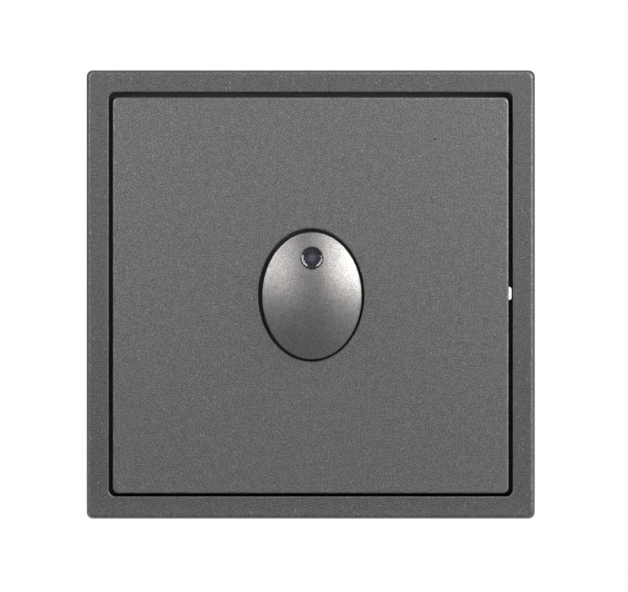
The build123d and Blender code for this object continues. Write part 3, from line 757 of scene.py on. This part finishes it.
@dataclass
class ReturnSpring:
    """A wound wire spring with closed ends, wound at its resting length; the real one shortens as the button
    goes in.
    """

    side: str
    wire_radius: float = 0.2 * MM
    active_turns: float = 4.0
    closed_turns: float = 1.0
    closed_pitch: float = 1.05
    steps_per_turn: int = 28
    wire_sides: int = 8
    travel: float = 1.2 * MM

    def rise(self, turn: float, length: float) -> float:
        """How far up the spring the wire is.

        Args:
            turn: Turns from the spring's foot.
            length: The spring's length between the middles of its end wires.

        Returns:
            The height over the foot, in metres.
        """
        closed = self.closed_turns * self.wire_radius * 2 * self.closed_pitch
        whole = self.active_turns + 2 * self.closed_turns
        if turn < self.closed_turns:
            return closed * turn / self.closed_turns
        if turn > whole - self.closed_turns:
            return length - closed * (whole - turn) / self.closed_turns
        return closed + (length - 2 * closed) * (turn - self.closed_turns) / self.active_turns

    def wind(self, low: Vector, high: Vector) -> bmesh.types.BMesh:
        """Sweeps the wire along the coil.

        Args:
            low: The spring's lowest corner.
            high: Its highest corner.

        Returns:
            The wire's closed mesh.
        """
        middle = (low + high) / 2
        coil = (high.x - low.x) / 2 - self.wire_radius
        foot, length = high.y - self.wire_radius, high.y - low.y - 2 * self.wire_radius
        whole = self.active_turns + 2 * self.closed_turns
        mesh = bmesh.new()
        rings = []
        for step in range(int(whole * self.steps_per_turn) + 1):
            turn = step / self.steps_per_turn
            angle = math.tau * turn
            outward = Vector((math.cos(angle), 0, math.sin(angle)))
            centre = Vector((middle.x, foot - self.rise(turn, length), middle.z)) + outward * coil
            ring = []
            for side in range(self.wire_sides):
                around = math.tau * side / self.wire_sides
                offset = outward * math.cos(around) + Vector((0, 1, 0)) * math.sin(around)
                ring.append(mesh.verts.new(centre + offset * self.wire_radius))
            rings.append(ring)
        for first, second in zip(rings, rings[1:]):
            for side in range(self.wire_sides):
                after = (side + 1) % self.wire_sides
                mesh.faces.new((first[side], first[after], second[after], second[side])).smooth = True
        mesh.faces.new(rings[0])
        mesh.faces.new(reversed(rings[-1]))
        bmesh.ops.recalc_face_normals(mesh, faces=mesh.faces)
        return mesh

    def build(self, finish: Finish) -> bpy.types.Object:
        """Puts the spring where the CAD node is, and hides the CAD node.

        Args:
            finish: The wire's finish.

        Returns:
            The spring's object.
        """
        node = f"button_spring_{self.side}"
        low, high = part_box(node)
        data = bpy.data.meshes.new(f"return_spring_{self.side}")
        mesh = self.wind(low, high)
        mesh.to_mesh(data)
        mesh.free()
        data.materials.append(finish.material())
        piece = bpy.data.objects.new(f"return_spring_{self.side}", data)
        bpy.context.scene.collection.objects.link(piece)
        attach(piece, "body")
        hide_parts(node)
        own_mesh(piece)
        LOG.info("wound %s", piece.name)
        return piece


@dataclass
class Mechanism:
    """The switch on the board, its plunger and the two springs."""

    def dress(self) -> None:
        """Finishes the switch and winds the springs."""
        dress("push_switch_body", MouldedPlastic(
            "black_switch_case", plastic=(0.018, 0.018, 0.02), shade=(0.012, 0.012, 0.014), gloss=0.4,
        ))
        dress("push_switch_plunger", MouldedPlastic(
            "white_plunger", plastic=(0.72, 0.71, 0.67), shade=(0.64, 0.63, 0.59), gloss=0.38,
        ))
        wire = SheetMetal(
            "spring_wire", metal=(0.58, 0.57, 0.56), bloom=(0.4, 0.39, 0.38), amount=0.35, gloss=0.22,
        )
        for side in ("left", "right"):
            ReturnSpring(side).build(wire)


@dataclass
class Chassis:
    """The carrier and the pressed strap that holds it in the wall box."""

    def dress(self) -> None:
        """Finishes the carrier and the strap."""
        dress("carrier", MouldedPlastic(
            "charcoal_carrier", plastic=(0.022, 0.022, 0.024), shade=(0.015, 0.015, 0.017), gloss=0.5,
        ))
        dress("steel_strap", SheetMetal(
            "zinc_strap", metal=(0.62, 0.63, 0.65), bloom=(0.46, 0.47, 0.5), amount=0.6, gloss=0.3,
        ))


@dataclass
class RearBox:
    """The housing behind the wall, its screws and its two terminals."""

    def dress(self) -> None:
        """Finishes the housing and its metal parts."""
        dress("rear_housing", MouldedPlastic(
            "grey_housing", plastic=(0.5, 0.5, 0.48), shade=(0.44, 0.44, 0.42), gloss=0.42, pores=2200.0,
        ))
        plated = SheetMetal(
            "zinc_screw", metal=(0.66, 0.66, 0.67), bloom=(0.45, 0.45, 0.47), amount=0.5, gloss=0.24,
        )
        brass = SheetMetal(
            "terminal_brass", metal=(0.8, 0.6, 0.3), bloom=(0.52, 0.36, 0.16), amount=0.5, gloss=0.26,
        )
        dress("housing_screws", plated)
        for side in ("left", "right"):
            dress(f"terminal_plate_{side}", brass)
            dress(f"clamp_washer_{side}", plated)
            dress(f"terminal_screw_{side}", plated)


@dataclass
class Electronics:
    """The board and the parts on its back."""

    def dress(self) -> None:
        """Finishes the board and each part on it."""
        dress("circuit_board", MouldedPlastic(
            "green_board", plastic=(0.03, 0.16, 0.06), shade=(0.02, 0.11, 0.04), gloss=0.28, pores=1800.0,
        ))
        dress("film_capacitor", MouldedPlastic(
            "red_film_case", plastic=(0.42, 0.045, 0.03), shade=(0.34, 0.03, 0.02), gloss=0.3,
        ))
        dress("electrolytic_capacitor", MouldedPlastic(
            "dark_can_sleeve", plastic=(0.02, 0.024, 0.05), shade=(0.014, 0.017, 0.036), gloss=0.26,
        ))
        resin = MouldedPlastic(
            "black_resin", plastic=(0.02, 0.02, 0.021), shade=(0.014, 0.014, 0.015), gloss=0.5,
        )
        for node in ("thyristor", "timer_chip", "rectifier_diodes"):
            dress(node, resin)
        dress("resistors", MouldedPlastic(
            "tan_resistor_coat", plastic=(0.56, 0.42, 0.24), shade=(0.48, 0.35, 0.19), gloss=0.34,
        ))
        dress("varistor", MouldedPlastic(
            "blue_disc_coat", plastic=(0.03, 0.1, 0.34), shade=(0.02, 0.075, 0.27), gloss=0.34,
        ))


@dataclass
class SoftBox:
    """One soft lamp that faces the switch."""

    name: str
    place: Place
    power: float
    width: float
    height: float
    distance: float = 0.9
    mirrored: bool = True

    def build(self, target: Vector) -> None:
        """Hangs the lamp.

        Args:
            target: The point it faces.
        """
        azimuth, elevation = (math.radians(angle) for angle in self.place.value)
        level = math.cos(elevation)
        towards = Vector((math.sin(azimuth) * level, -math.cos(azimuth) * level, math.sin(elevation)))
        data = bpy.data.lights.new(self.name, "AREA")
        data.shape = "RECTANGLE"
        data.size = self.width
        data.size_y = self.height
        data.energy = self.power
        lamp = bpy.data.objects.new(self.name, data)
        lamp.location = target + towards * self.distance
        lamp.rotation_mode = "QUATERNION"
        lamp.rotation_quaternion = towards.to_track_quat("Z", "Y")
        lamp.visible_camera = False
        lamp.visible_glossy = self.mirrored
        bpy.context.scene.collection.objects.link(lamp)
        LOG.info("hung %s", self.name)


@dataclass
class Studio:
    """The camera, lamps, pale floor and white surroundings."""

    photo_width: float = 628.0
    photo_height: float = 592.0
    plate_across: float = 448.2
    plate_middle: tuple[float, float] = (310.75, 294.45)
    distance: float = 2.5
    sensor: float = 36.0
    floor_half: float = 0.45
    front_light: float = 0.03
    low_share: float = 0.3
    room_band: tuple[float, float] = (-0.6, 0.4)
    back_glow: float = 0.45
    behind_band: tuple[float, float] = (0.0, 0.6)
    far_end: float = 0.05
    far_band: tuple[float, float] = (0.5, 0.92)
    floor_tone: float = 0.12
    floor_glow: float = 0.92
    floor_glint: float = 0.45
    glint_reach: float = 12 * MM
    lamps: tuple[SoftBox, ...] = field(default_factory=lambda: (
        SoftBox("right_softbox", Place.RIGHT, 0.38, 0.16, 0.2, 0.3),
        SoftBox("wide_right_softbox", Place.WIDE_RIGHT, 0.62, 0.13, 0.2, 0.35),
        SoftBox("right_strip", Place.FAR_RIGHT, 0.25, 0.12, 0.4, 0.5),
        SoftBox("high_right_strip", Place.HIGH_RIGHT, 1.4, 0.15, 0.45, 0.5),
        SoftBox("top_right_softbox", Place.TOP_RIGHT, 0.09, 0.15, 0.1, 0.25),
        SoftBox("left_softbox", Place.LEFT, 0.24, 0.16, 0.2, 0.3),
        SoftBox("wide_left_softbox", Place.WIDE_LEFT, 0.16, 0.08, 0.14, 0.35),
        SoftBox("left_strip", Place.FAR_LEFT, 0.3, 0.12, 0.4, 0.5),
        SoftBox("high_left_strip", Place.HIGH_LEFT, 1.3, 0.15, 0.45, 0.5),
        SoftBox("front_fill", Place.FRONT, 0.003, 0.05, 0.05, 0.15),
        SoftBox("front_left_fill", Place.FRONT_LEFT, 0.01, 0.08, 0.08, 0.2),
        SoftBox("back_softbox", Place.BEHIND, 4.0, 0.6, 0.5, 0.9, mirrored=False),
    ))

    def camera(self) -> None:
        """Sets the camera straight in front, with the plate as large and where it is in the photograph."""
        low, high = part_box("outer_frame")
        scale = (high.x - low.x) / self.plate_across
        data = bpy.data.cameras.new("front_camera")
        data.sensor_width = self.sensor
        data.lens = self.sensor * self.distance / (self.photo_width * scale)
        data.clip_end = 20.0
        camera = bpy.data.objects.new("front_camera", data)
        camera.location = (
            (self.photo_width / 2 - self.plate_middle[0]) * scale,
            high.y - self.distance,
            (self.plate_middle[1] - self.photo_height / 2) * scale,
        )
        camera.rotation_euler = (math.pi / 2, 0, 0)
        bpy.context.scene.collection.objects.link(camera)
        bpy.context.scene.camera = camera
        LOG.info("camera lens %.0f mm", data.lens)

    def world(self) -> None:
        """White behind for the camera and clear parts, and a dimmer room, darkest low down."""
        world = bpy.data.worlds.new("studio_room")
        world.use_nodes = True
        bpy.context.scene.world = world
        wiring = Wiring(world.node_tree)
        parts = wiring.node("ShaderNodeSeparateXYZ")
        wiring.feed(parts.inputs[0], wiring.node("ShaderNodeTexCoord").outputs["Generated"])
        low_light = self.front_light * self.low_share
        room = wiring.ramp(parts.outputs["Z"], *self.room_band, low_light, self.front_light)
        path = wiring.node("ShaderNodeLightPath")
        behind = wiring.ramp(parts.outputs["Y"], *self.behind_band, 0.0, 1.0)
        back_glow = wiring.sum("MULTIPLY", behind, self.back_glow)
        mirrored = wiring.sum("MULTIPLY", path.outputs["Is Glossy Ray"], back_glow)
        through = wiring.sum("MULTIPLY", path.outputs["Is Transmission Ray"], behind)
        seen = wiring.sum("MAXIMUM", path.outputs["Is Camera Ray"], through)
        far_end = wiring.ramp(parts.outputs["Y"], *self.far_band, 1.0, self.far_end)
        around = wiring.sum("MULTIPLY", wiring.sum("MAXIMUM", room, mirrored), far_end)
        shown = wiring.ramp(seen, 0.0, 1.0, around, 1.0)
        background = world.node_tree.nodes["Background"]
        background.inputs["Color"].default_value = opaque((1.0, 1.0, 1.0))
        wiring.feed(background.inputs["Strength"], shown)

    def floor(self) -> None:
        """Lays a pale floor under the plate: white to the camera, but shadowed, and open from below."""
        low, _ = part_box("outer_frame")
        half = self.floor_half
        data = bpy.data.meshes.new("floor")
        corners = [(-half, -half, low.z), (half, -half, low.z), (half, half, low.z), (-half, half, low.z)]
        data.from_pydata(corners, [], [(0, 1, 2, 3)])
        paper = bpy.data.materials.new("floor_paper")
        paper.use_nodes = True
        wiring = Wiring(paper.node_tree)
        shader = paper.node_tree.nodes["Principled BSDF"]
        shader.inputs["Base Color"].default_value = opaque((self.floor_tone,) * 3)
        shader.inputs["Roughness"].default_value = 0.9
        shader.inputs["Emission Color"].default_value = opaque((1.0, 1.0, 1.0))
        parts = wiring.node("ShaderNodeSeparateXYZ")
        wiring.feed(parts.inputs[0], wiring.place())
        reach = self.glint_reach
        glint = wiring.ramp(parts.outputs["Y"], -2 * reach, -reach, 0.0, self.floor_glint)
        path = wiring.node("ShaderNodeLightPath")
        seen = wiring.sum("MAXIMUM", path.outputs["Is Camera Ray"], path.outputs["Is Transmission Ray"])
        mirrored = wiring.sum("MULTIPLY", path.outputs["Is Glossy Ray"], glint)
        glow = wiring.sum("ADD", wiring.sum("MULTIPLY", seen, self.floor_glow), mirrored)
        wiring.feed(shader.inputs["Emission Strength"], glow)
        clear = wiring.node("ShaderNodeBsdfTransparent")
        sides = wiring.node("ShaderNodeMixShader")
        wiring.feed(sides.inputs[0], wiring.node("ShaderNodeNewGeometry").outputs["Backfacing"])
        wiring.feed(sides.inputs[1], shader.outputs[0])
        wiring.feed(sides.inputs[2], clear.outputs[0])
        wiring.feed(paper.node_tree.nodes["Material Output"].inputs["Surface"], sides.outputs[0])
        data.materials.append(paper)
        floor = bpy.data.objects.new("floor", data)
        bpy.context.scene.collection.objects.link(floor)
        floor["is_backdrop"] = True

    def build(self) -> None:
        """Sets up the whole studio."""
        bpy.context.scene.view_settings.view_transform = "Standard"
        self.camera()
        self.world()
        self.floor()
        for lamp in self.lamps:
            lamp.build(Vector((0, 0, 0)))


def corners() -> list[list[float]]:
    """The lowest and highest corner of what is shown, as plain lists."""
    return [list(corner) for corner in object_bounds()]


def main() -> None:
    """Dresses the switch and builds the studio."""
    logging.basicConfig(level=logging.INFO, format="%(name)s: %(message)s")
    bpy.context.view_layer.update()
    Studio().build()
    for assembly in (FrontPlate(), PushButton(), Mechanism(), Chassis(), RearBox(), Electronics()):
        assembly.dress()
        LOG.info("finished %s", type(assembly).__name__)


if __name__ == "__main__":
    main()
